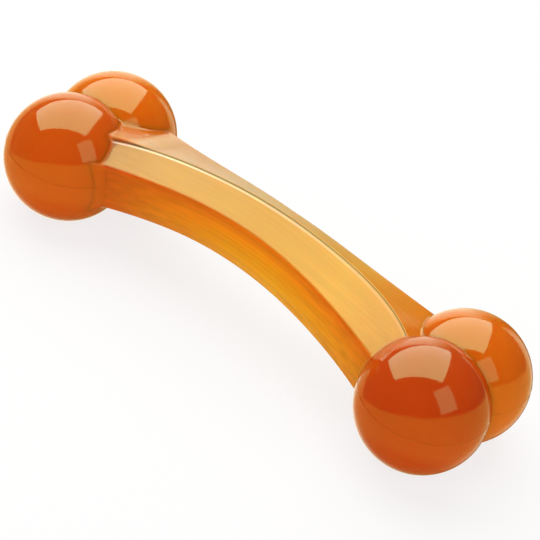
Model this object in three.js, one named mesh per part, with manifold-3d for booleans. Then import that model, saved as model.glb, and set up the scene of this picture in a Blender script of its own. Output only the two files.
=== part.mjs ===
// Dog chew bone: an arched, waisted shaft with a pair of balls at each end. Millimetres, +Z up.
// X runs along the bone and Y across it. The origin is on the floor, under the middle of the shaft.
// Each shaft end carries a cross-bar anchor. A pair of balls slides on to it from both sides and meets face to face.
import * as THREE from "three";
import { mergeVertices, toCreasedNormals } from "three/addons/utils/BufferGeometryUtils.js";
import Module from "manifold-3d";

// Balls
const ballDiameter = 34;
const ballSpan = 119.5; // centre to centre along the bone
const ballSpread = 17.9; // centre to centre across one end
const restFlat = 6; // diameter of the flat that each ball rests on

// Shaft section, in the middle of the bone and at the roots inside the balls
const rootSetback = 8; // from the ball centres in to the root section
const waistWidth = 17.4;
const rootWidth = 31;
const widthFlare = 2.4; // power of the distance from the middle
const waistDepth = 20.9; // from the top ridge to the bottom ridge
const rootDepth = 23;
const depthFlare = 4;
const waistSide = 11.3; // height of a side wall between its two shoulders
const rootSide = 13.5;
const sideFlare = 2;
const rootRidge = 7.5; // from the middle plane to a ridge at the roots, none at the waist
const ridgeFlare = 5.5;
const archHeight = 7.9; // parting line over the ball centres, in the middle
const rootRise = 0.35; // and at the roots
const archBend = 26; // length over which the arch bends, to either side of the middle
const wallDraft = THREE.MathUtils.degToRad(2); // side walls lean in from the parting line
const ridgeRound = 1; // edge radii
const shoulderRound = 2;

// Anchors inside the balls
const barDiameter = 11;
const barReach = 5; // past each ball centre
const tongueWidth = 14; // from the root to the cross-bar
const tongueHeight = 9;
const tongueRound = 2.5;
const tongueEmbed = 3; // length sunk into the root

// Clearances
const seatGap = 0.3; // between the shaft and the pocket round it
const twinGap = 0.3; // between the flat faces of a pair of balls

// Facets
const ballSides = 36;
const ballRings = 17;
const shaftStations = 31;
const roundSteps = 3;
const barSides = 20;
const barCapSteps = 5;
const smoothAngle = THREE.MathUtils.degToRad(25);

const ballRadius = ballDiameter / 2;
const flatRadius = restFlat / 2;
const centreHeight = Math.sqrt(ballRadius ** 2 - flatRadius ** 2);
const rootX = ballSpan / 2 - rootSetback;

const wasm = await Module();
wasm.setup();

// Solids for joining and cutting
function solidFrom(geometry) {
  const bare = geometry.clone();
  bare.deleteAttribute("normal");
  bare.deleteAttribute("uv");
  const merged = mergeVertices(bare, 1e-4);
  const vertProperties = new Float32Array(merged.attributes.position.array);
  const triVerts = new Uint32Array(merged.index.array);
  return new wasm.Manifold(new wasm.Mesh({ numProp: 3, vertProperties, triVerts }));
}

function geometryFrom(solid) {
  const mesh = solid.getMesh();
  const geometry = new THREE.BufferGeometry();
  geometry.setAttribute("position", new THREE.BufferAttribute(mesh.vertProperties, 3));
  geometry.setIndex(new THREE.BufferAttribute(mesh.triVerts, 1));
  return toCreasedNormals(geometry, smoothAngle);
}

// A size that changes along the shaft, level in the middle and given at the roots
function flaring(middle, root, power) {
  return (x) => middle + (root - middle) * Math.abs(x / rootX) ** power;
}

const halfWidthAt = flaring(waistWidth / 2, rootWidth / 2, widthFlare);
const halfDepthAt = flaring(waistDepth / 2, rootDepth / 2, depthFlare);
const halfSideAt = flaring(waistSide / 2, rootSide / 2, sideFlare);
const ridgeAt = flaring(0, rootRidge, ridgeFlare);

// The arch bends in the middle and straightens towards the roots
function partingHeightAt(x) {
  const sag = (distance) => Math.hypot(1, distance / archBend) - 1;
  return archHeight - ((archHeight - rootRise) * sag(x)) / sag(rootX);
}

// Rounds the corners of a convex outline, each with its own radius, and moves it out by a clearance
function roundedOutline(corners, grow) {
  const outline = [];
  corners.forEach(({ point, radius }, i) => {
    const before = corners.at(i - 1).point.clone().sub(point).normalize();
    const after = corners[(i + 1) % corners.length].point.clone().sub(point).normalize();
    const halfAngle = Math.acos(THREE.MathUtils.clamp(before.dot(after), -1, 1)) / 2;
    const tangent = radius / Math.tan(halfAngle);
    const start = point.clone().addScaledVector(before, tangent);
    const end = point.clone().addScaledVector(after, tangent);
    const towards = before.add(after).normalize();
    const centre = point.clone().addScaledVector(towards, radius / Math.sin(halfAngle));
    const from = start.sub(centre).angle();
    const to = end.sub(centre).angle();
    const turn = THREE.MathUtils.euclideanModulo(to - from, 2 * Math.PI);
    for (let k = 0; k <= roundSteps; k += 1) {
      const angle = from + (turn * k) / roundSteps;
      const out = new THREE.Vector2(Math.cos(angle), Math.sin(angle));
      outline.push(out.multiplyScalar(radius + grow).add(centre));
    }
  });
  return outline;
}

// The six-sided section at x. Towards the roots the top ridge runs to the front balls
// and the bottom ridge to the rear balls, so the section looks the same upside down.
function shaftSection(x, grow) {
  const halfWidth = halfWidthAt(x);
  const halfSide = halfSideAt(x);
  const shoulder = halfWidth - halfSide * Math.tan(wallDraft);
  const parting = new THREE.Vector2(halfWidth + grow, 0);
  const upper = [
    { point: new THREE.Vector2(shoulder, halfSide), radius: shoulderRound },
    { point: new THREE.Vector2(-ridgeAt(x), halfDepthAt(x)), radius: ridgeRound },
    { point: new THREE.Vector2(-shoulder, halfSide), radius: shoulderRound },
  ];
  const lower = upper.map(({ point, radius }) => ({ point: point.clone().negate(), radius }));
  const sixSided = roundedOutline([...upper, ...lower], grow);
  const half = sixSided.length / 2;
  const outline = [
    parting,
    ...sixSided.slice(0, half),
    parting.clone().negate(),
    ...sixSided.slice(half),
  ];
  const height = centreHeight + partingHeightAt(x);
  return outline.map((p) => new THREE.Vector3(x, p.x, height + p.y));
}

// A closed skin over rings of equal counts, with a fan at each end
function loft(rings) {
  const sides = rings[0].length;
  const points = rings.flat();
  const triangles = [];
  for (let i = 0; i + 1 < rings.length; i += 1) {
    for (let k = 0; k < sides; k += 1) {
      const a = i * sides + k;
      const b = i * sides + ((k + 1) % sides);
      triangles.push(a, b, b + sides, a, b + sides, a + sides);
    }
  }
  const addCap = (ring, first, flip) => {
    const middle = points.length;
    points.push(ring.reduce((sum, p) => sum.add(p), new THREE.Vector3()).divideScalar(sides));
    for (let k = 0; k < sides; k += 1) {
      const a = first + k;
      const b = first + ((k + 1) % sides);
      triangles.push(middle, flip ? b : a, flip ? a : b);
    }
  };
  addCap(rings[0], 0, true);
  addCap(rings.at(-1), (rings.length - 1) * sides, false);
  return new THREE.BufferGeometry().setFromPoints(points).setIndex(triangles);
}

function shaftBody(grow) {
  const end = rootX + grow;
  const rings = [];
  for (let i = 0; i < shaftStations; i += 1) {
    const x = THREE.MathUtils.lerp(-end, end, i / (shaftStations - 1));
    rings.push(shaftSection(x, grow));
  }
  return solidFrom(loft(rings));
}

// Tongue and cross-bar at one end: side is -1 at the left end and 1 at the right
function anchor(side, grow) {
  const halfWidth = tongueWidth / 2;
  const halfHeight = tongueHeight / 2;
  const corners = [
    [halfWidth, halfHeight],
    [-halfWidth, halfHeight],
    [-halfWidth, -halfHeight],
    [halfWidth, -halfHeight],
  ].map(([y, z]) => ({ point: new THREE.Vector2(y, z), radius: tongueRound }));
  const outline = roundedOutline(corners, grow);
  const ringAt = (x) => outline.map((p) => new THREE.Vector3(x, p.x, centreHeight + p.y));
  const root = side * (rootX - tongueEmbed);
  const tip = side * (ballSpan / 2);
  const tongue = loft([ringAt(Math.min(root, tip)), ringAt(Math.max(root, tip))]);
  const barRadius = barDiameter / 2 + grow;
  const barStraight = ballSpread + 2 * (barReach - barDiameter / 2);
  const bar = new THREE.CapsuleGeometry(barRadius, barStraight, barCapSteps, barSides);
  bar.translate(tip, 0, centreHeight);
  return solidFrom(tongue).add(solidFrom(bar));
}

function wholeShaft(grow) {
  return shaftBody(grow).add(anchor(-1, grow)).add(anchor(1, grow));
}

// A full ball standing on its rest flat
function fullBall() {
  const profile = [new THREE.Vector2(0, 0)];
  const lowest = Math.asin(flatRadius / ballRadius);
  for (let i = 0; i <= ballRings; i += 1) {
    const angle = THREE.MathUtils.lerp(lowest, Math.PI, i / ballRings);
    const radius = i === ballRings ? 0 : ballRadius * Math.sin(angle);
    profile.push(new THREE.Vector2(radius, centreHeight - ballRadius * Math.cos(angle)));
  }
  return new THREE.LatheGeometry(profile, ballSides).rotateX(Math.PI / 2);
}

const pocket = wholeShaft(seatGap);

// One ball of a pair: side is -1 left or 1 right, row is -1 front or 1 rear
function seatedBall(side, row) {
  const ball = fullBall().translate((side * ballSpan) / 2, (row * ballSpread) / 2, 0);
  const twinSpace = new THREE.BoxGeometry(ballDiameter * 2, ballDiameter, ballDiameter * 2);
  const face = (row * (twinGap - ballDiameter)) / 2;
  twinSpace.translate((side * ballSpan) / 2, face, centreHeight);
  return solidFrom(ball).subtract(solidFrom(twinSpace)).subtract(pocket);
}

const amber = { color: 0xe08a1e, roughness: 0.15, metalness: 0 };
const deepOrange = { color: 0xc8500f, roughness: 0.12, metalness: 0 };

const bone = new THREE.Group();

function addPiece(name, solid, finish) {
  const mesh = new THREE.Mesh(geometryFrom(solid), new THREE.MeshStandardMaterial(finish));
  mesh.name = name;
  bone.add(mesh);
}

addPiece("arched_shaft", wholeShaft(0), amber);
for (const [end, side] of [["left", -1], ["right", 1]]) {
  addPiece(`front_${end}_ball`, seatedBall(side, -1), deepOrange);
  addPiece(`rear_${end}_ball`, seatedBall(side, 1), deepOrange);
}

export default bone;
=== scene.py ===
import math
import bmesh
import bpy
from mathutils import Matrix, Vector


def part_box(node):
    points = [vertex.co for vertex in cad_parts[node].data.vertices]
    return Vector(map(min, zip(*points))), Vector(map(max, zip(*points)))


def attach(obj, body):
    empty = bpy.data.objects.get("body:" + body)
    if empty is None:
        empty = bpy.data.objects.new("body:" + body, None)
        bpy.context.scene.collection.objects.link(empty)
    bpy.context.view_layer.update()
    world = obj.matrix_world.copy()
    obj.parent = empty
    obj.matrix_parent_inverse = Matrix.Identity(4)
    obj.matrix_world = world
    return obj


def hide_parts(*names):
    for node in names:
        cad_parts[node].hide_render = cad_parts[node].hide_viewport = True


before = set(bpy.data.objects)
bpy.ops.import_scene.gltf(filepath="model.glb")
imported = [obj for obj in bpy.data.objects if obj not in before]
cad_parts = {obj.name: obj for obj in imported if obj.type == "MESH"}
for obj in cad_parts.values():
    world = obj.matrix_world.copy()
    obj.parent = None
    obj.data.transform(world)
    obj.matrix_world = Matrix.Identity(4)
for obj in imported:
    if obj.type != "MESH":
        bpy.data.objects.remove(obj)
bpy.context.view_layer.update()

mm = 0.001
print("frame loaded:", ", ".join(sorted(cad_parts)))


def clamp(value):
    return min(max(value, 0), 1)


def skinLoops(bm, loops):
    for low, high in zip(loops, loops[1:]):
        for k in range(len(low)):
            j = (k + 1) % len(low)
            bm.faces.new((low[k], low[j], high[j], high[k])).smooth = True


def newPiece(name, bm, place=(0, 0, 0)):
    bmesh.ops.recalc_face_normals(bm, faces=bm.faces[:])
    mesh = bpy.data.meshes.new(name)
    bm.to_mesh(mesh)
    bm.free()
    piece = bpy.data.objects.new(name, mesh)
    piece.location = place
    bpy.context.scene.collection.objects.link(piece)
    return piece


# balls
ballLook = {
    "radius": 16.95 * mm,
    "around": 112,  # faces round a ball
    "rings": 52,  # and from its rest flat to its top
    "twinFace": 0.03 * mm,  # flat face of a ball, off the middle of the bone
    "seamHeight": 0.05 * mm,  # mould line round the ball
    "seamWidth": 0.3 * mm,
    "seamLift": 2.5 * mm,  # over the middle of the ball
    "seamSharp": 0.45,  # fall of its bead, in seam widths
    "seamRings": (-1.4, -0.6, -0.25, 0, 0.25, 0.6, 1.4),  # also in seam widths
    "seamRoom": 2.2,  # no other rings within this
    "glow": {  # painted light: a fixed share per ball of the paler, lit tone, paler where more light would come through
        "front_left_ball": 0.4,
        "rear_left_ball": 1.0,
        "front_right_ball": 0.0,
        "rear_right_ball": 0.9,
    },
}
seamAngle = math.pi / 2 + math.asin(ballLook["seamLift"] / ballLook["radius"])
seamSpan = ballLook["seamWidth"] / ballLook["radius"]  # width as an angle


def ballMiddle(node):
    low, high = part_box(node)
    reach = ballLook["radius"] + ballLook["seamHeight"]
    x = high.x - reach if high.x > 0 else low.x + reach
    y = high.y - reach if high.y > reach else low.y + reach
    return Vector((x, y, high.z - reach))


def ballAngles(lowest):
    count = ballLook["rings"]
    even = [lowest + (math.pi - lowest) * i / count for i in range(count)]
    rings = [a for a in even if abs(a - seamAngle) > ballLook["seamRoom"] * seamSpan]
    rings += [seamAngle + seamSpan * step for step in ballLook["seamRings"]]
    return sorted(rings)


def makeBall(node):
    middle = ballMiddle(node)
    radius, around = ballLook["radius"], ballLook["around"]
    lowest = math.acos(middle.z / radius)  # edge of the flat that the ball rests on
    bm = bmesh.new()
    loops = []
    for angle in ballAngles(lowest):
        seam = math.exp(-((angle - seamAngle) / (ballLook["seamSharp"] * seamSpan)) ** 2)
        reach = radius + ballLook["seamHeight"] * seam
        flat = reach * math.sin(angle)
        loop = []
        for k in range(around):
            turn = 2 * math.pi * (k + 0.5) / around
            spot = (flat * math.cos(turn), flat * math.sin(turn), -reach * math.cos(angle))
            loop.append(bm.verts.new(spot))
        loops.append(loop)
    top = bm.verts.new((0, 0, radius))
    bm.faces.new(loops[0])
    skinLoops(bm, loops)
    for k in range(around):
        bm.faces.new((loops[-1][k], loops[-1][(k + 1) % around], top))

    # cut where the pair meets, and close the cut
    side = 1 if middle.y > 0 else -1
    face = Vector((0, side * ballLook["twinFace"] - middle.y, 0))
    bmesh.ops.bisect_plane(bm, geom=bm.verts[:] + bm.edges[:] + bm.faces[:], dist=1e-7,
                           plane_co=face, plane_no=(0, -side, 0), clear_outer=True)
    bmesh.ops.contextual_create(bm, geom=[e for e in bm.edges if e.is_boundary])
    # painted glow: each ball's fixed share of its paler, lit tone
    glow = bm.verts.layers.float.new("glow")
    for v in bm.verts:
        v[glow] = ballLook["glow"][node]
    for f in bm.faces:
        f.smooth = len(f.verts) <= 4
    for e in bm.edges:
        if not all(f.smooth for f in e.link_faces):
            e.smooth = False
    return newPiece(node.replace("_ball", "_knob"), bm, middle)


knobs = {}
for node in ("front_left_ball", "rear_left_ball", "front_right_ball", "rear_right_ball"):
    knobs[node] = makeBall(node)
    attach(knobs[node], "root")
    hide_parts(node)
print("balls made:", len(knobs))


# shaft
shaftLook = {
    "rootX": 51.75 * mm,
    "end": 53 * mm,  # inside the balls
    "width": (17.4 * mm, 31 * mm, 2.4),  # in the middle, at the roots, power of the flare
    "depth": (20.9 * mm, 23 * mm, 4),
    "side": (11.3 * mm, 13.5 * mm, 2),
    "archHeight": 7.87 * mm,  # parting line over the ball centres, in the middle
    "rootRise": 0.35 * mm,  # and at the roots
    "archBend": 26 * mm,
    "ridgeSlant": 2.7 * mm,  # the top ridge crosses the middle plane from the front left
    "ridgeFlare": (7 * mm, 10.5 * mm, 4.5),  # and runs to the front balls: left, right, power
    "droop": (2 * mm, 1.4),  # front shoulder at the right end: how far, power
    "sag": (1.6 * mm, 1.2, 20 * mm),  # front wall's lower edge, from this far left of the middle
    "rearDroop": (1.3 * mm, 4),  # rear shoulder at the right end
    "swell": 0.4 * mm,  # rear wall, halfway to the roots
    "draft": math.radians(2),
    "ridgeRound": 1 * mm,
    "shoulderRound": 1.2 * mm,
    "roundSteps": 6,
    "bevelShares": [k / 24 for k in range(3, 23)] + [0.96],  # points across a bevel
    "wallShares": (  # points across a wall, to the seam and on from it
        (0.06, 0.2, 0.35, 0.5, 0.7, 0.85), (0.15, 0.3, 0.5, 0.65, 0.8, 0.94),
    ),
    "middleReach": 41 * mm,  # the rings stand closer past this
    "steps": (1.2 * mm, 0.25 * mm),
    "seamHeight": 0.06 * mm,  # bead on the parting line
    "seamWidth": 0.3 * mm,
    "seamBead": ((1, 0), (0.45, 0.35), (0, 1), (-0.45, 0.35), (-1, 0)),  # shares of its width and height
    "ridgeLine": [  # mould line over a ridge: dip in mm, and painted shade in its groove, 1 is dark
        (0, 0), (0, 0), (0, 0), (0.06, 0.7), (0.16, 1), (0.1, 1), (0, 0.2),
    ],
    "lineSide": [  # painted highlight beside it: share of the bevel, -1 is pale
        (0.015, -0.5), (0.04, -1), (0.065, -1), (0.085, 0),
    ],
    "leftJoin": (4 * mm, 1 * mm),  # blend between the shaft and the balls, front and rear
    "rightJoin": (1.6 * mm, 0.7 * mm),
    "joinSharp": 1.2 * mm,  # at the front bevel
    "joinSink": 0.08 * mm,
    "topSpan": 0.08,  # share of the rise over which a shoulder turns into its bevel
    "rearLift": 1.4 * mm,  # the rear bevel rises to the left ball
    "rearLiftSpan": (36 * mm, 48 * mm, 1.3),  # from, to, power
    "ballReflection": (42 * mm, 45 * mm, 0.08),  # painted reflection of the rear left ball, a deeper colour there: from, to, slant
}
ballMiddles = [ballMiddle(node) for node in knobs]
ballHeight = ballMiddles[0].z


def halfSize(name, x):
    middle, root, power = shaftLook[name]
    return (middle + (root - middle) * abs(x / shaftLook["rootX"]) ** power) / 2


def archSag(x):
    return math.hypot(1, x / shaftLook["archBend"]) - 1


def partingHeight(x):
    top, root = shaftLook["archHeight"], shaftLook["rootRise"]
    return top - (top - root) * archSag(x) / archSag(shaftLook["rootX"])


def ridgePlace(x):
    left, right, power = shaftLook["ridgeFlare"]
    out = x / shaftLook["rootX"]
    return (left if x < 0 else right) * abs(out) ** power - shaftLook["ridgeSlant"] * out


# half sizes of the section at x, up and across from the parting line
def shaftForm(x):
    root = shaftLook["rootX"]
    wide, deep, side = (halfSize(name, x) for name in ("width", "depth", "side"))
    droop, droopPower = shaftLook["droop"]
    sag, sagPower, sagStart = shaftLook["sag"]
    rearDroop, rearPower = shaftLook["rearDroop"]
    toRight = max(x / root, 0)
    swell = shaftLook["swell"] * max(1 - (2 * abs(x) / root - 1) ** 2, 0)
    lean = side * math.tan(shaftLook["draft"])
    return {
        "ridge": ridgePlace(x),
        "deep": deep,
        "frontHigh": side - droop * toRight ** droopPower,  # shoulders and lower edges
        "frontLow": side + sag * max((x + sagStart) / (root + sagStart), 0) ** sagPower,
        "rearHigh": side - rearDroop * toRight ** rearPower,
        "rearLow": side,
        "frontWall": wide,  # walls on the parting line, and at their edges
        "rearWall": wide + swell,
        "frontEdge": wide - lean,
        "rearEdge": wide + swell - lean,
    }


def roundCorner(before, corner, after, radius, steps):
    toBefore = (before - corner).normalized()
    toAfter = (after - corner).normalized()
    half = toBefore.angle(toAfter) / 2
    centre = corner + (toBefore + toAfter).normalized() * radius / math.sin(half)
    start = corner + toBefore * radius / math.tan(half) - centre
    end = corner + toAfter * radius / math.tan(half) - centre
    turn = math.atan2(start.x * end.y - start.y * end.x, start.dot(end))
    return [centre + Matrix.Rotation(turn * k / steps, 2) @ start for k in range(steps + 1)]


# the six rounded corners, from the rear shoulder over the top, with their marks
def shaftCorners(form):
    points = [Vector(p) for p in (
        (form["rearEdge"], form["rearHigh"]), (-form["ridge"], form["deep"]),
        (-form["frontEdge"], form["frontHigh"]), (-form["frontEdge"], -form["frontLow"]),
        (form["ridge"], -form["deep"]), (form["rearEdge"], -form["rearLow"]),
    )]
    corners = []
    for i, point in enumerate(points):
        onRidge = i in (1, 4)
        radius = shaftLook["ridgeRound" if onRidge else "shoulderRound"]
        corner = roundCorner(points[i - 1], point, points[(i + 1) % 6], radius, shaftLook["roundSteps"])
        marks = [0] * len(corner)
        if onRidge:
            for k, (dip, mark) in enumerate(shaftLook["ridgeLine"]):
                corner[k].y -= math.copysign(dip * mm, point.y)
                marks[k] = mark
        corners.append(list(zip(corner, marks)))
    return corners


def fillFlat(start, end, shares):
    return [start.lerp(end, share) for share in shares]


# a side wall over the bead on its parting line: out is -1 in front and 1 at the rear
def fillWall(start, end, out, reach):
    edge = Vector((out * reach, 0))
    toEdge, fromEdge = shaftLook["wallShares"]
    seam = shaftLook["seamWidth"]
    wall = fillFlat(start, edge, toEdge)
    for share, rise in shaftLook["seamBead"]:
        slip = abs(share) * seam * math.tan(shaftLook["draft"]) - rise * shaftLook["seamHeight"]
        wall.append(Vector((edge.x - out * slip, -out * share * seam)))
    return wall + fillFlat(edge, end, fromEdge)


def shaftOutline(form):
    corners = shaftCorners(form)
    lineShares, lineMarks = (list(column) for column in zip(*shaftLook["lineSide"]))
    outline = []
    for i, corner in enumerate(corners):
        start, end = corner[-1][0], corners[(i + 1) % 6][0][0]
        if i == 2:
            flat = fillWall(start, end, -1, form["frontWall"])
        elif i == 5:
            flat = fillWall(start, end, 1, form["rearWall"])
        else:
            flat = fillFlat(start, end, lineShares + shaftLook["bevelShares"])
        marks = lineMarks if i == 1 else []  # the front bevel, beside the top ridge
        outline += corner + list(zip(flat, marks + [0] * (len(flat) - len(marks))))
    return outline


# blends a point of the section into the balls, and says how far it is in them
def joinBalls(x, point, height, width):
    reach = point.length
    way = point / reach
    ball = 0
    for middle in ballMiddles:
        inside = (ballLook["radius"] - shaftLook["joinSink"]) ** 2 - (x - middle.x) ** 2
        spot = Vector((middle.y, middle.z - height))
        along = way.dot(spot)
        left = along ** 2 - spot.length_squared + inside
        if inside > 0 and left > 0:
            ball = max(ball, along + math.sqrt(left))
    gap = ball - reach
    fill = max(width - abs(gap), 0) ** 2 / (4 * width)
    joined = max(reach, ball) + fill - max(gap - width, 0)
    return way * joined, clamp((gap + width) / width)


def shaftRing(x):
    form = shaftForm(x)
    height = ballHeight + partingHeight(x)
    fore, full, slant = shaftLook["ballReflection"]
    near, far, power = shaftLook["rearLiftSpan"]
    climb = shaftLook["rearLift"] * max((-x - near) / (far - near), 0) ** power
    frontJoin, rearJoin = shaftLook["leftJoin" if x < 0 else "rightJoin"]
    rows = []
    for p, mark in shaftOutline(form):
        edge = form[("rear" if p.x > 0 else "front") + ("High" if p.y > 0 else "Low")]
        up = abs(p.y)
        share = up / edge / 2 if up < edge else 0.5 + (up - edge) / (form["deep"] - edge) / 2
        rise = math.copysign(share, p.y)
        over = clamp(0.5 + (p.x + form["ridge"]) / shaftLook["ridgeRound"])
        top = clamp((rise - 0.5) / shaftLook["topSpan"])
        width = frontJoin + (rearJoin - frontJoin) * over
        width += (shaftLook["joinSharp"] - width) * (1 - over) * top
        lift = climb * over * top * max(1 - (p.x / form["rearEdge"]) ** 2, 0)
        q, joined = joinBalls(x, p + Vector((0, lift)), height, width)
        # share of the painted reflection of the rear left ball on the rear bevel
        ballReflection = over * top * clamp((slant * p.x - x - fore) / (full - fore))
        values = {"rise": rise, "over": over, "line": mark, "join": joined, "ballReflection": ballReflection}
        rows.append((Vector((x, q.x, height + q.y)), values))
    return rows


def stationPlaces():
    wide, close = shaftLook["steps"]
    reach, end = shaftLook["middleReach"], shaftLook["end"]
    count, more = round(reach / wide), round((end - reach) / close)
    half = [reach * i / count for i in range(count)]
    half += [reach + (end - reach) * i / more for i in range(more + 1)]
    return [-x for x in reversed(half[1:])] + half


def makeShaft():
    bm = bmesh.new()
    # rise: 0.5 at the shoulders, 1 at the top ridge; over: 1 behind that ridge; line: painted shade of the
    # mould line, and -1 for the painted highlight beside it;
    # join: 1 in the balls; collar: 1 where the painted reflection of the rear left ball lies
    names = ("rise", "over", "line", "join", "ballReflection")
    for name in names:
        bm.verts.layers.float.new(name)
    layers = {name: bm.verts.layers.float[name] for name in names}
    loops = []
    for x in stationPlaces():
        loop = []
        for place, values in shaftRing(x):
            vert = bm.verts.new(place)
            for name, value in values.items():
                vert[layers[name]] = value
            loop.append(vert)
        loops.append(loop)
    skinLoops(bm, loops)
    for loop in (loops[0], loops[-1]):
        bm.faces.new(loop)
        for k in range(len(loop)):
            bm.edges.get((loop[k - 1], loop[k])).smooth = False
    return newPiece("bone_shaft", bm)


shaft = makeShaft()
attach(shaft, "root")
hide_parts("arched_shaft")
print("shaft made:", len(shaft.data.vertices), "points")


# nodes
def addNode(tree, kind, place, **values):
    made = tree.nodes.new(kind)
    made.location = place
    for name, value in values.items():
        made.inputs[name].default_value = value
    return made


def feed(tree, value, socket):
    if isinstance(value, bpy.types.NodeSocket):
        tree.links.new(value, socket)
    else:
        socket.default_value = value


def addMath(tree, kind, place, *values):
    made = addNode(tree, "ShaderNodeMath", place)
    made.operation = kind
    for value, socket in zip(values, made.inputs):
        feed(tree, value, socket)
    return made.outputs[0]


def remap(tree, place, source, low, high, toLow, toHigh):
    made = addNode(tree, "ShaderNodeMapRange", place)
    for name, value in (("From Min", low), ("From Max", high), ("To Min", toLow), ("To Max", toHigh)):
        made.inputs[name].default_value = value
    tree.links.new(source, made.inputs["Value"])
    return made.outputs["Result"]


def mixColour(tree, kind, place, factor, first, second):
    made = addNode(tree, "ShaderNodeMix", place)
    made.data_type = "RGBA"
    made.blend_type = kind
    for name, value in (("Factor_Float", factor), ("A_Color", first), ("B_Color", second)):
        feed(tree, value, next(s for s in made.inputs if s.identifier == name))
    return next(s for s in made.outputs if s.identifier == "Result_Color")


def addRamp(tree, place, source, stops):
    ramp = addNode(tree, "ShaderNodeValToRGB", place)
    band = ramp.color_ramp.elements
    while len(band) > 1:
        band.remove(band[-1])
    band[0].position = stops[0][0]
    band[0].color = (*stops[0][1], 1)
    for position, colour in stops[1:]:
        band.new(position).color = (*colour, 1)
    tree.links.new(source, ramp.inputs["Fac"])
    return ramp.outputs["Color"]


def addShares(tree, place, source, stops):
    return addRamp(tree, place, source, [(at, (share,) * 3) for at, share in stops])


def pointLayer(tree, place, name):
    made = addNode(tree, "ShaderNodeAttribute", place)
    made.attribute_name = name
    return made.outputs["Fac"]


# shared effects
effectLook = {
    "noiseSpan": (0.3, 0.7),  # most of a noise lies in this
    "fineShare": 0.03,  # fine ripple in the height
    "haze": (0.05, 0.1),  # roughness over the broad ripple
    "streakSpan": (0.36, 0.66),
    "cloudScale": 45.0,
}


def newGroup(name, numbers, outputs):
    tree = bpy.data.node_groups.new(name, "ShaderNodeTree")
    tree.interface.new_socket("Vector", in_out="INPUT", socket_type="NodeSocketVector")
    for label in numbers:
        tree.interface.new_socket(label, in_out="INPUT", socket_type="NodeSocketFloat")
    for label in outputs:
        tree.interface.new_socket(label, in_out="OUTPUT", socket_type="NodeSocketFloat")
    return tree, addNode(tree, "NodeGroupInput", (-1000, 0)), addNode(tree, "NodeGroupOutput", (300, 0))


def makeRipple():
    tree, given, result = newGroup("mouldRipple", ("Scale", "Fine"), ("Height", "Haze"))
    broad = addNode(tree, "ShaderNodeTexNoise", (-600, 150), Detail=1.0)
    fine = addNode(tree, "ShaderNodeTexNoise", (-600, -150), Detail=2.0)
    for noise, scale in ((broad, "Scale"), (fine, "Fine")):
        tree.links.new(given.outputs["Vector"], noise.inputs["Vector"])
        tree.links.new(given.outputs[scale], noise.inputs["Scale"])
    broadWave, fineWave = broad.outputs["Fac"], fine.outputs["Fac"]
    height = addMath(tree, "MULTIPLY_ADD", (-300, 150), fineWave, effectLook["fineShare"], broadWave)
    haze = remap(tree, (-300, -150), broadWave, *effectLook["noiseSpan"], *effectLook["haze"])
    tree.links.new(height, result.inputs["Height"])
    tree.links.new(haze, result.inputs["Haze"])
    return tree


def makeStreaks():
    tree, given, result = newGroup("flowStreaks", ("Length", "Spacing"), ("Streak", "Cloud"))
    split = addNode(tree, "ShaderNodeSeparateXYZ", (-800, 0))
    drawn = addNode(tree, "ShaderNodeCombineXYZ", (-400, 0))
    tree.links.new(given.outputs["Vector"], split.inputs[0])
    for i, label in enumerate(("Length", "Spacing", "Spacing")):
        scaled = addMath(tree, "MULTIPLY", (-600, -200 * i), split.outputs[i], given.outputs[label])
        tree.links.new(scaled, drawn.inputs[i])
    lines = addNode(tree, "ShaderNodeTexNoise", (-200, 0), Scale=1.0, Detail=2.0)
    cloud = addNode(tree, "ShaderNodeTexNoise", (-200, -300), Scale=effectLook["cloudScale"], Detail=1.0)
    tree.links.new(drawn.outputs[0], lines.inputs["Vector"])
    tree.links.new(given.outputs["Vector"], cloud.inputs["Vector"])
    sharp = remap(tree, (0, 0), lines.outputs["Fac"], *effectLook["streakSpan"], 0, 1)
    tree.links.new(sharp, result.inputs["Streak"])
    tree.links.new(cloud.outputs["Fac"], result.inputs["Cloud"])
    return tree


ripple = makeRipple()
streaks = makeStreaks()


def placeGroup(tree, group, place, vector, **values):
    made = addNode(tree, "ShaderNodeGroup", place)
    made.node_tree = group
    tree.links.new(vector, made.inputs["Vector"])
    for name, value in values.items():
        made.inputs[name].default_value = value
    return made


def startGloss(name, look):
    material = bpy.data.materials.new(name)
    material.use_nodes = True
    tree = material.node_tree
    gloss = tree.nodes["Principled BSDF"]
    gloss.inputs["IOR"].default_value = look["ior"]
    gloss.inputs["Specular IOR Level"].default_value = look["shine"]
    gloss.inputs["Specular Tint"].default_value = (*look["shineTint"], 1)
    gloss.inputs["Subsurface Weight"].default_value = look["depth"]
    gloss.inputs["Subsurface Radius"].default_value = look["spread"]
    gloss.inputs["Subsurface Scale"].default_value = look["spreadScale"]
    where = addNode(tree, "ShaderNodeTexCoord", (-1900, -100)).outputs["Object"]
    waves = placeGroup(tree, ripple, (-500, -400), where, Scale=look["rippleScale"], Fine=look["fineScale"])
    bump = addNode(tree, "ShaderNodeBump", (-250, -400), Strength=look["rippleStrength"], Distance=1 * mm)
    tree.links.new(waves.outputs["Height"], bump.inputs["Height"])
    tree.links.new(bump.outputs["Normal"], gloss.inputs["Normal"])
    tree.links.new(waves.outputs["Haze"], gloss.inputs["Roughness"])
    split = addNode(tree, "ShaderNodeSeparateXYZ", (-1700, -100))
    tree.links.new(where, split.inputs[0])
    return material, tree, gloss, where, split.outputs


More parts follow.
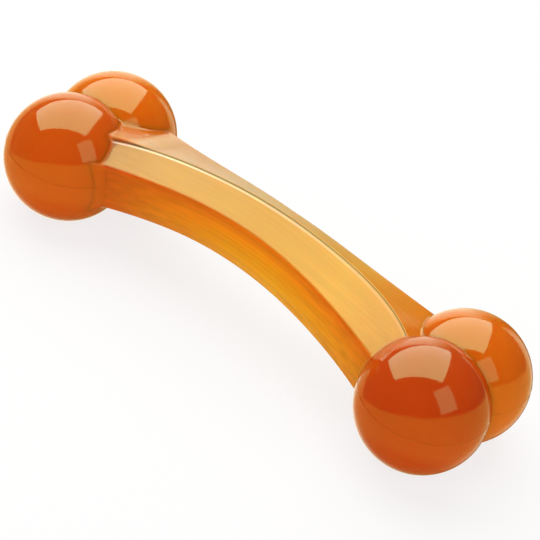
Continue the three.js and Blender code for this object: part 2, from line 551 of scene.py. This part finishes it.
# amber of the shaft
amberLook = {
    "ior": 1.5,
    "shine": 1.0,
    "shineTint": (0.6, 0.85, 0.3),
    "depth": 0.85,
    "spread": (1.0, 0.38, 0.1),
    "spreadScale": 4 * mm,
    "rippleScale": 55.0,
    "fineScale": 700.0,
    "rippleStrength": 0.08,
    "wallStops": [  # from the bottom ridge up, the wall lies between 0.25 and 0.75; painted light and shade: paler low down where floor light comes through, a darker band under the top shoulder
        (0.0, (0.9, 0.4, 0.05)),
        (0.28, (0.9, 0.46, 0.05)),
        (0.4, (1.0, 0.46, 0.012)),
        (0.6, (1.0, 0.35, 0.003)),
        (0.69, (0.84, 0.235, 0.002)),
        (0.75, (0.78, 0.2, 0.0015)),
    ],
    "rootColour": (0.64, 0.09, 0.005),
    "rootStops": [  # share of the root colour from the left end to the right end
        (0.0, 0.98), (0.1, 0.95), (0.25, 0.56), (0.45, 0.2), (0.6, 0.04), (0.8, 0.3), (1.0, 0.7),
    ],
    "topEdge": (0.49, 0.54),  # rise from a wall to its upper bevel
    "nearTopStops": [  # upper bevels from the left end to the right end, front; paler and bluer than the walls as a painted reflection of the softbox
        (0.05, (0.6, 0.25, 0.1)),
        (0.2, (0.68, 0.31, 0.085)),
        (0.5, (0.72, 0.32, 0.055)),
        (0.75, (0.81, 0.38, 0.055)),
        (0.95, (0.73, 0.28, 0.05)),
    ],
    "farTopStops": [  # and rear, also with a painted reflection: pale peach at the left end, deeper where they mirror the dark
        (0.09, (0.68, 0.35, 0.18)),
        (0.14, (0.55, 0.2, 0.05)),
        (0.25, (0.53, 0.18, 0.035)),
        (0.4, (0.54, 0.23, 0.05)),
        (0.55, (0.66, 0.28, 0.05)),
        (0.75, (0.82, 0.4, 0.06)),
        (0.95, (0.74, 0.21, 0.009)),
    ],
    "streaks": (0.9, 1.08),  # on the walls
    "topStreaks": (0.95, 1.03),
    "streakLength": 16.0,
    "streakSpacing": 1100.0,
    "lineShadeAndHighlight": ((0.06, 0.03, 0.02), (1.0, 0.86, 0.66)),  # painted shade in the mould line and a painted highlight beside it
    "lineFades": ((1.0, 0.8), (1.0, 0.05)),  # from the left end to the right end
    # painted reflection of the rear left ball on the rear bevel
    "ballReflectionColour": (0.6, 0.145, 0.012),
    "joinColour": (0.67, 0.11, 0.006),
}


def makeAmber():
    look = amberLook
    material, tree, gloss, _, split = startGloss("amberElastomer", look)
    rise = pointLayer(tree, (-1900, 300), "rise")
    half = shaftLook["depth"][0] / 2
    along = addNode(tree, "ShaderNodeCombineXYZ", (-1500, 600))  # follows the arch
    tree.links.new(split["X"], along.inputs["X"])
    tree.links.new(remap(tree, (-1700, 600), rise, -1, 1, -half, half), along.inputs["Y"])
    tree.links.new(split["Y"], along.inputs["Z"])
    flow = placeGroup(tree, streaks, (-1300, 600), along.outputs[0],
                      Length=look["streakLength"], Spacing=look["streakSpacing"])
    wallLines = remap(tree, (-1100, 500), flow.outputs["Streak"], 0, 1, *look["streaks"])
    topLines = remap(tree, (-1100, 750), flow.outputs["Streak"], 0, 1, *look["topStreaks"])

    # walls and upper bevels, with painted light and shade
    reach = shaftLook["rootX"]
    place = remap(tree, (-1500, -250), split["X"], -reach, reach, 0, 1)
    level = remap(tree, (-1700, 300), rise, -1, 1, 0, 1)
    # painted light and shade up the walls
    wall = addRamp(tree, (-1500, 300), level, look["wallStops"])
    ends = addShares(tree, (-1200, 0), place, look["rootStops"])
    sides = mixColour(tree, "MIX", (-900, 200), ends, wall, (*look["rootColour"], 1))
    # painted reflection on the upper bevels, front and rear
    nearTop = addRamp(tree, (-1200, -250), place, look["nearTopStops"])
    farTop = addRamp(tree, (-1200, -500), place, look["farTopStops"])
    over = pointLayer(tree, (-1200, -750), "over")
    tops = mixColour(tree, "MIX", (-900, -250), over, nearTop, farTop)
    isTop = remap(tree, (-900, 450), rise, *look["topEdge"], 0, 1)
    body = mixColour(tree, "MIX", (-700, 200), isTop, sides, tops)
    lines = mixColour(tree, "MIX", (-700, 500), isTop, wallLines, topLines)
    colour = mixColour(tree, "MULTIPLY", (-500, 300), 1.0, body, lines)

    # painted shade and highlight of the mould line, painted reflection of the rear left ball, and joins
    line = pointLayer(tree, (-1500, 1000), "line")
    for i, mark in enumerate((1, -1)):
        up = 1000 + 250 * i
        part = remap(tree, (-1100, up), line, 0, mark, 0, 1)
        fade = remap(tree, (-1300, up), place, 0, 1, *look["lineFades"][i])
        share = addMath(tree, "MULTIPLY", (-900, up), part, fade)
        colour = mixColour(tree, "MIX", (-500 + 200 * i, 600), share, colour, (*look["lineShadeAndHighlight"][i], 1))
    for i, name in enumerate(("ballReflection", "join")):
        share = pointLayer(tree, (-300 + 200 * i, 900), name)
        colour = mixColour(tree, "MIX", (-100 + 200 * i, 600), share, colour, (*look[name + "Colour"], 1))
    tree.links.new(colour, gloss.inputs["Base Color"])
    return material


# deep orange of the balls
orangeLook = {
    "ior": 1.5,
    "shine": 1.0,
    "shineTint": (0.45, 1.0, 0.42),
    "depth": 0.9,
    "spread": (1.0, 0.3, 0.08),
    "spreadScale": 5 * mm,
    "rippleScale": 50.0,
    "fineScale": 600.0,
    "rippleStrength": 0.05,
    "deepStops": [  # painted light and shade, from the floor up: darker towards the top against the light from above, and a redder, darker bottom as a painted shadow under the ball
        (0.0, (0.6, 0.032, 0.001)),
        (0.25, (0.64, 0.06, 0.0035)),
        (0.5, (0.61, 0.064, 0.0035)),
        (1.0, (0.56, 0.066, 0.004)),
    ],
    # paler low down as painted light from below, darker towards the top
    "brightStops": [
        (0.0, (0.86, 0.25, 0.03)),
        (0.2, (0.77, 0.165, 0.008)),
        (0.5, (0.76, 0.163, 0.005)),
        (1.0, (0.72, 0.157, 0.003)),
    ],
    "clouds": (0.95, 1.05),
    "seamStops": [(0.0, 1.0), (0.35, 0.9), (0.65, 0.9), (1.0, 1.0)],  # duller across the mould line
}


def makeOrange():
    look = orangeLook
    material, tree, gloss, where, split = startGloss("orangeElastomer", look)
    reach = ballLook["radius"]
    # painted light and shade by height on the balls
    height = remap(tree, (-1400, 300), split["Z"], -reach, reach, 0, 1)
    deep = addRamp(tree, (-1200, 400), height, look["deepStops"])
    bright = addRamp(tree, (-1200, 150), height, look["brightStops"])
    # painted glow per ball, mixing from the deep tone to the bright tone
    glow = pointLayer(tree, (-1200, -100), "glow")
    body = mixColour(tree, "MIX", (-900, 300), glow, deep, bright)
    flow = placeGroup(tree, streaks, (-1200, -300), where)
    clouds = remap(tree, (-900, 0), flow.outputs["Cloud"], *effectLook["noiseSpan"], *look["clouds"])
    mottled = mixColour(tree, "MULTIPLY", (-700, 300), 1.0, body, clouds)
    lift, width = ballLook["seamLift"], ballLook["seamWidth"]
    across = remap(tree, (-1200, -500), split["Z"], lift - width, lift + width, 0, 1)
    seam = addShares(tree, (-900, -300), across, look["seamStops"])
    seamed = mixColour(tree, "MULTIPLY", (-400, 300), 1.0, mottled, seam)
    tree.links.new(seamed, gloss.inputs["Base Color"])
    return material


shaft.data.materials.append(makeAmber())
orange = makeOrange()
for knob in knobs.values():
    knob.data.materials.append(orange)
print("materials made")


# camera
view = {
    "azimuth": math.radians(30.127),
    "elevation": math.radians(37.092),
    "roll": math.radians(15.587),
    "distance": 631.29 * mm,
    "frame": 540,  # pixels across
    "focal": 2476.3,  # in those pixels
    "aim": (260.58, 263.37),  # where the middle of the ball centres falls
    "sensor": 36,
}


def makeCamera():
    a, e, r = view["azimuth"], view["elevation"], view["roll"]
    back = Vector((math.sin(a) * math.cos(e), -math.cos(a) * math.cos(e), math.sin(e)))
    level = (-back).cross(Vector((0, 0, 1))).normalized()
    upright = level.cross(-back)
    right = level * math.cos(r) + upright * math.sin(r)
    up = upright * math.cos(r) - level * math.sin(r)
    offX, offY = ((at - view["frame"] / 2) / view["focal"] for at in view["aim"])
    ray = (right * offX - up * offY - back).normalized()
    data = bpy.data.cameras.new("photoCamera")
    data.sensor_width = view["sensor"]
    data.lens = view["focal"] / view["frame"] * view["sensor"]
    data.clip_start = 10 * mm
    camera = bpy.data.objects.new("photoCamera", data)
    place = Vector((0, 0, ballHeight)) - ray * view["distance"]
    turned = Matrix((right, up, back)).transposed().to_4x4()
    camera.matrix_world = Matrix.Translation(place) @ turned
    bpy.context.scene.collection.objects.link(camera)
    bpy.context.scene.camera = camera


makeCamera()
print("camera set")


# studio
studio = {
    "floorSize": 5.0,
    "floorColour": (0.84, 0.84, 0.84),
    "floorRoughness": 0.7,
    "floorLift": 0.8,  # share of plain white that the camera sees
    "softboxLevel": 2.6,
    "softboxSize": (1.8, 1.41),
    "softboxPlace": (-0.54, 0.544, 0.788),  # right, away and up, as the camera stands
    "softboxTilt": math.radians(21.5),
    "sideBoxLevel": 1.0,
    "sideBoxSize": (0.5, 0.66),
    "sideBoxPlace": (0.53, -0.44, 0.724),
    "fillBoxLevel": 1.4,
    "fillBoxSize": (1.6, 1.2),
    "fillBoxPlace": (-0.2, -1.25, 0.95),
    "roomColour": (0.06, 0.06, 0.06),
    "roomAxis": (-0.23, 0.36, 0.904),  # from the table up to the dark room
    "roomEdge": (-0.08, -0.02),
    "sweepAxis": (0.0, -0.42, 1.0),  # the white sweep rises behind the bone
    "sweepBow": 0.7,  # and falls off to both sides
    "tableColour": (1.1, 0.56, 0.18),  # in the glow of the bone
    "rearEdge": (0.2, 0.75),
    "rearStops": [  # behind the bone, from the left to the right
        (0.1, (1.0, 0.56, 0.18)),
        (0.23, (1.0, 0.7, 0.3)),
        (0.33, (1.35, 1.3, 1.0)),
        (0.475, (1.35, 1.35, 1.05)),
        (0.54, (0.75, 0.7, 0.38)),
        (0.58, (0.4, 0.38, 0.15)),
        (0.625, (0.2, 0.1, 0.02)),
        (0.665, (0.25, 0.15, 0.04)),
        (0.725, (1.1, 1.05, 0.75)),
        (0.8, (1.0, 0.8, 0.4)),
        (0.88, (1.05, 0.6, 0.2)),
    ],
    "underStops": [(0.03, 0.45), (0.13, 1.0)],  # dimmer straight below
}
rightWay = Vector((math.cos(view["azimuth"]), math.sin(view["azimuth"]), 0))
aheadWay = Vector((-math.sin(view["azimuth"]), math.cos(view["azimuth"]), 0))
upWay = Vector((0, 0, 1))


def inStudio(place):
    return rightWay * place[0] + aheadWay * place[1] + upWay * place[2]


def makeFloor():
    bm = bmesh.new()
    bmesh.ops.create_grid(bm, x_segments=8, y_segments=8, size=studio["floorSize"] / 2)
    floor = newPiece("studio_floor", bm)
    floor.visible_glossy = False  # the balls mirror the studio room instead
    paper = bpy.data.materials.new("floorPaper")
    paper.use_nodes = True
    tree = paper.node_tree
    sheet = tree.nodes["Principled BSDF"]
    sheet.inputs["Base Color"].default_value = (*studio["floorColour"], 1)
    sheet.inputs["Roughness"].default_value = studio["floorRoughness"]
    sheet.inputs["Specular IOR Level"].default_value = 0.0
    path = addNode(tree, "ShaderNodeLightPath", (-800, 300)).outputs
    direct = addMath(tree, "MAXIMUM", (-600, 300), path["Is Camera Ray"], path["Is Glossy Ray"])
    through = addMath(tree, "MAXIMUM", (-400, 300), direct, path["Is Transmission Ray"])
    seen = remap(tree, (-200, 300), through, 0, 1, 0, studio["floorLift"])
    white = addNode(tree, "ShaderNodeEmission", (0, -400), Strength=1.0)
    blend = addNode(tree, "ShaderNodeMixShader", (300, 0))
    tree.links.new(seen, blend.inputs["Fac"])
    tree.links.new(sheet.outputs["BSDF"], blend.inputs[1])
    tree.links.new(white.outputs["Emission"], blend.inputs[2])
    tree.links.new(blend.outputs["Shader"], tree.nodes["Material Output"].inputs["Surface"])
    floor.data.materials.append(paper)


def areaLamp(name, facing, across):
    width, height = studio[name + "Size"]
    data = bpy.data.lights.new(name, "AREA")
    data.shape = "RECTANGLE"
    data.size, data.size_y = width, height
    data.energy = studio[name + "Level"] * math.pi * width * height
    lamp = bpy.data.objects.new(name, data)
    away = -facing.normalized()
    over = away.cross(across).normalized()
    turned = Matrix((over.cross(away), over, away)).transposed().to_4x4()
    lamp.matrix_world = Matrix.Translation(inStudio(studio[name + "Place"])) @ turned
    bpy.context.scene.collection.objects.link(lamp)
    return lamp


def makeLamps():
    tilt = studio["softboxTilt"]
    areaLamp("softbox", -aheadWay * math.sin(tilt) - upWay * math.cos(tilt), rightWay)
    for name in ("sideBox", "fillBox"):  # these face the bone
        spot = inStudio(studio[name + "Place"])
        lamp = areaLamp(name, -spot, upWay.cross(spot))
        lamp.visible_glossy = name != "fillBox"


def makeRoom():
    world = bpy.data.worlds.new("studioRoom")
    world.use_nodes = True
    bpy.context.scene.world = world
    tree = world.node_tree
    where = addNode(tree, "ShaderNodeTexCoord", (-1400, 0)).outputs["Generated"]
    axes = {
        "room": inStudio(studio["roomAxis"]),
        "sweep": inStudio(studio["sweepAxis"]),
        "ahead": aheadWay,
        "right": rightWay,
        "up": upWay,
    }
    leans = {}
    for i, (name, axis) in enumerate(axes.items()):
        lean = addNode(tree, "ShaderNodeVectorMath", (-1200, -200 * i))
        lean.operation = "DOT_PRODUCT"
        lean.inputs[1].default_value = axis
        tree.links.new(where, lean.inputs[0])
        leans[name] = lean.outputs["Value"]
    aside = addMath(tree, "MULTIPLY", (-1000, -200), leans["right"], leans["right"])
    bow = addMath(tree, "MULTIPLY_ADD", (-800, -200), aside, studio["sweepBow"], leans["sweep"])
    lower = addMath(tree, "MINIMUM", (-800, 0), leans["room"], bow)
    isRoom = remap(tree, (-600, 0), lower, *studio["roomEdge"], 0, 1)
    isRear = remap(tree, (-600, -300), leans["ahead"], *studio["rearEdge"], 0, 1)
    sideways = remap(tree, (-800, -600), leans["right"], -1, 1, 0, 1)
    upwards = remap(tree, (-800, -850), leans["up"], -1, 1, 0, 1)
    sweep = addRamp(tree, (-600, -600), sideways, studio["rearStops"])
    under = addShares(tree, (-600, -850), upwards, studio["underStops"])
    table = mixColour(tree, "MIX", (-300, -300), isRear, (*studio["tableColour"], 1), sweep)
    dimmed = mixColour(tree, "MULTIPLY", (-100, -300), 1.0, table, under)
    room = mixColour(tree, "MIX", (100, 0), isRoom, dimmed, (*studio["roomColour"], 1))
    tree.links.new(room, tree.nodes["Background"].inputs["Color"])


makeFloor()
makeLamps()
makeRoom()
bpy.context.scene.view_settings.view_transform = "Standard"
print("studio set")
